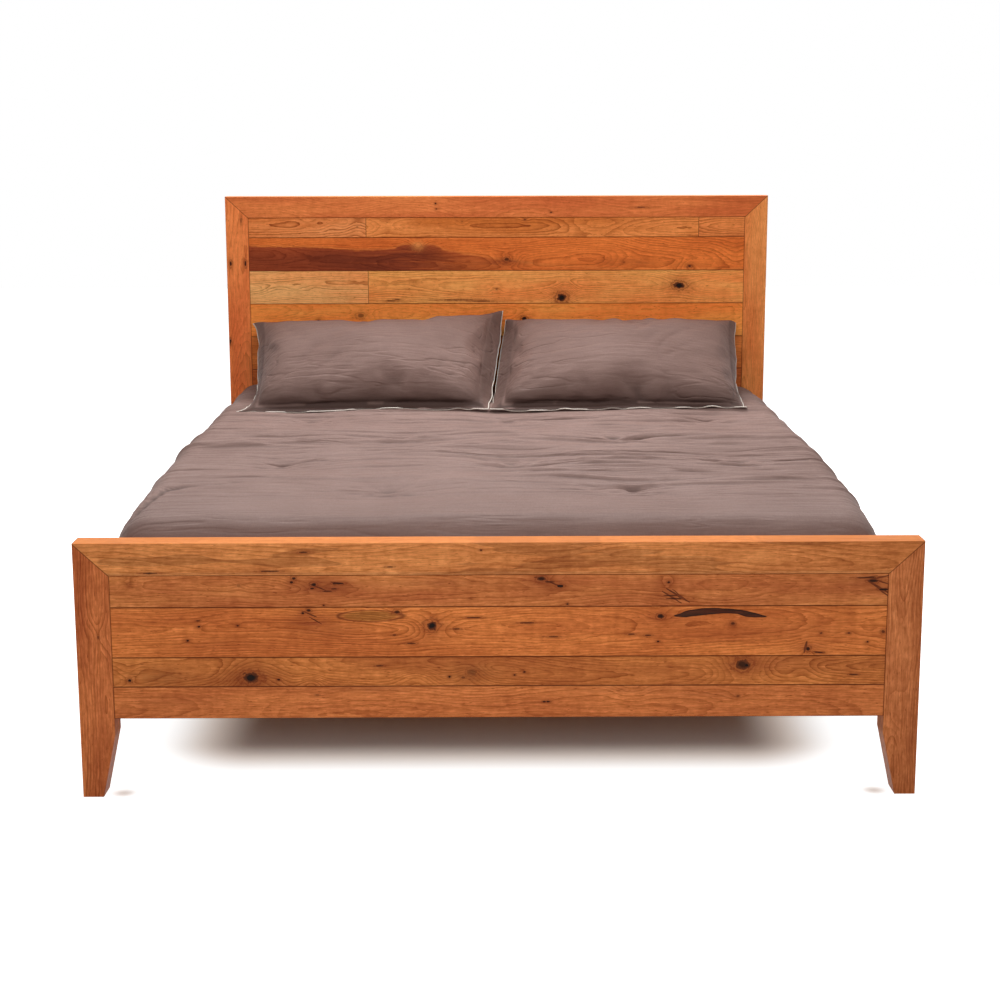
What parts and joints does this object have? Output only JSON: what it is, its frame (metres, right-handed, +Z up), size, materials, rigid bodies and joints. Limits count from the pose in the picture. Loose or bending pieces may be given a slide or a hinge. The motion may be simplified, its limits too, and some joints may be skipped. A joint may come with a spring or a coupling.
{
  "type": "king-size wooden bed",
  "caption": "King-size wooden bed with planked headboard and footboard in mitred frames, hook-on side rails, slats on a legged centre beam, mattress, comforter and pillows.",
  "frame": {"origin": "on the floor at the middle of the bed in plan", "axes": "+Y from the footboard to the headboard, +X to the right seen from the foot, +Z up"},
  "size_m": [2.128, 2.203, 1.432],
  "materials": {
    "cherry_frame": "satin oil",
    "cherry_boards": "satin oil",
    "support_wood": "sanded",
    "zinc_steel": "zinc plated",
    "pad_plastic": "matt",
    "box_spring_cover": "woven",
    "mattress_cover": "knitted",
    "bedding_sateen": "fine sateen"
  },
  "bodies": {
    "bed": {"head_post_left": "cherry_frame", "head_post_right": "cherry_frame", "head_top_rail": "cherry_frame", "foot_post_left": "cherry_frame", "foot_post_right": "cherry_frame", "foot_top_rail": "cherry_frame", "side_rail_left": "cherry_frame", "side_rail_right": "cherry_frame", "head_board_1_left": "cherry_boards", "head_board_1_middle": "cherry_boards", "head_board_1_right": "cherry_boards", "head_board_2": "cherry_boards", "head_board_3_left": "cherry_boards", "head_board_3_right": "cherry_boards", "head_board_4": "cherry_boards", "head_board_5": "cherry_boards", "head_board_6": "cherry_boards", "head_board_7": "cherry_boards", "head_board_8": "cherry_boards", "head_bottom_rail": "cherry_boards", "foot_board_1": "cherry_boards", "foot_board_2": "cherry_boards", "foot_board_3": "cherry_boards", "foot_board_4": "cherry_boards", "head_batten_left": "support_wood", "head_batten_right": "support_wood", "foot_batten_left": "support_wood", "foot_batten_right": "support_wood", "foot_back_rail": "support_wood", "rail_ledger_left": "support_wood", "rail_ledger_right": "support_wood", "centre_beam": "support_wood", "mitre_splines": "support_wood", "slat_1": "support_wood", "slat_2": "support_wood", "slat_3": "support_wood", "slat_4": "support_wood", "slat_5": "support_wood", "slat_6": "support_wood", "centre_leg_1": "support_wood", "centre_leg_2": "support_wood", "centre_leg_3": "support_wood", "hook_plates": "zinc_steel", "post_plates": "zinc_steel", "plate_screws": "zinc_steel", "slat_screws": "zinc_steel", "beam_hangers": "zinc_steel", "leg_thread_nuts": "zinc_steel", "box_spring_left": "box_spring_cover", "box_spring_right": "box_spring_cover", "mattress": "mattress_cover", "comforter": "bedding_sateen", "pillow_left": "bedding_sateen", "pillow_right": "bedding_sateen"},
    "leveller_pad_1": {"leveller_pad_1": "pad_plastic"},
    "leveller_stud_1": {"leveller_stud_1": "zinc_steel"},
    "leveller_pad_2": {"leveller_pad_2": "pad_plastic"},
    "leveller_stud_2": {"leveller_stud_2": "zinc_steel"},
    "leveller_pad_3": {"leveller_pad_3": "pad_plastic"},
    "leveller_stud_3": {"leveller_stud_3": "zinc_steel"}
  },
  "joints": [
    {"name": "leveller_slide_1", "type": "slide", "parent": "bed", "child": "leveller_pad_1", "axis": [0, 0, -1], "range_m": [0, 0.012]},
    {"name": "leveller_turn_1", "type": "hinge", "parent": "leveller_pad_1", "child": "leveller_stud_1", "pos_m": [0, -0.56, 0.03], "axis": [0, 0, -1], "range_deg": [0, 2880]},
    {"name": "leveller_slide_2", "type": "slide", "parent": "bed", "child": "leveller_pad_2", "axis": [0, 0, -1], "range_m": [0, 0.012]},
    {"name": "leveller_turn_2", "type": "hinge", "parent": "leveller_pad_2", "child": "leveller_stud_2", "pos_m": [0, 0, 0.03], "axis": [0, 0, -1], "range_deg": [0, 2880]},
    {"name": "leveller_slide_3", "type": "slide", "parent": "bed", "child": "leveller_pad_3", "axis": [0, 0, -1], "range_m": [0, 0.012]},
    {"name": "leveller_turn_3", "type": "hinge", "parent": "leveller_pad_3", "child": "leveller_stud_3", "pos_m": [0, 0.56, 0.03], "axis": [0, 0, -1], "range_deg": [0, 2880]}
  ],
  "couplings": [
    {"joint": "leveller_slide_1", "follows": "leveller_turn_1", "m_per_rad": 0.00023873},
    {"joint": "leveller_slide_2", "follows": "leveller_turn_2", "m_per_rad": 0.00023873},
    {"joint": "leveller_slide_3", "follows": "leveller_turn_3", "m_per_rad": 0.00023873}
  ]
}
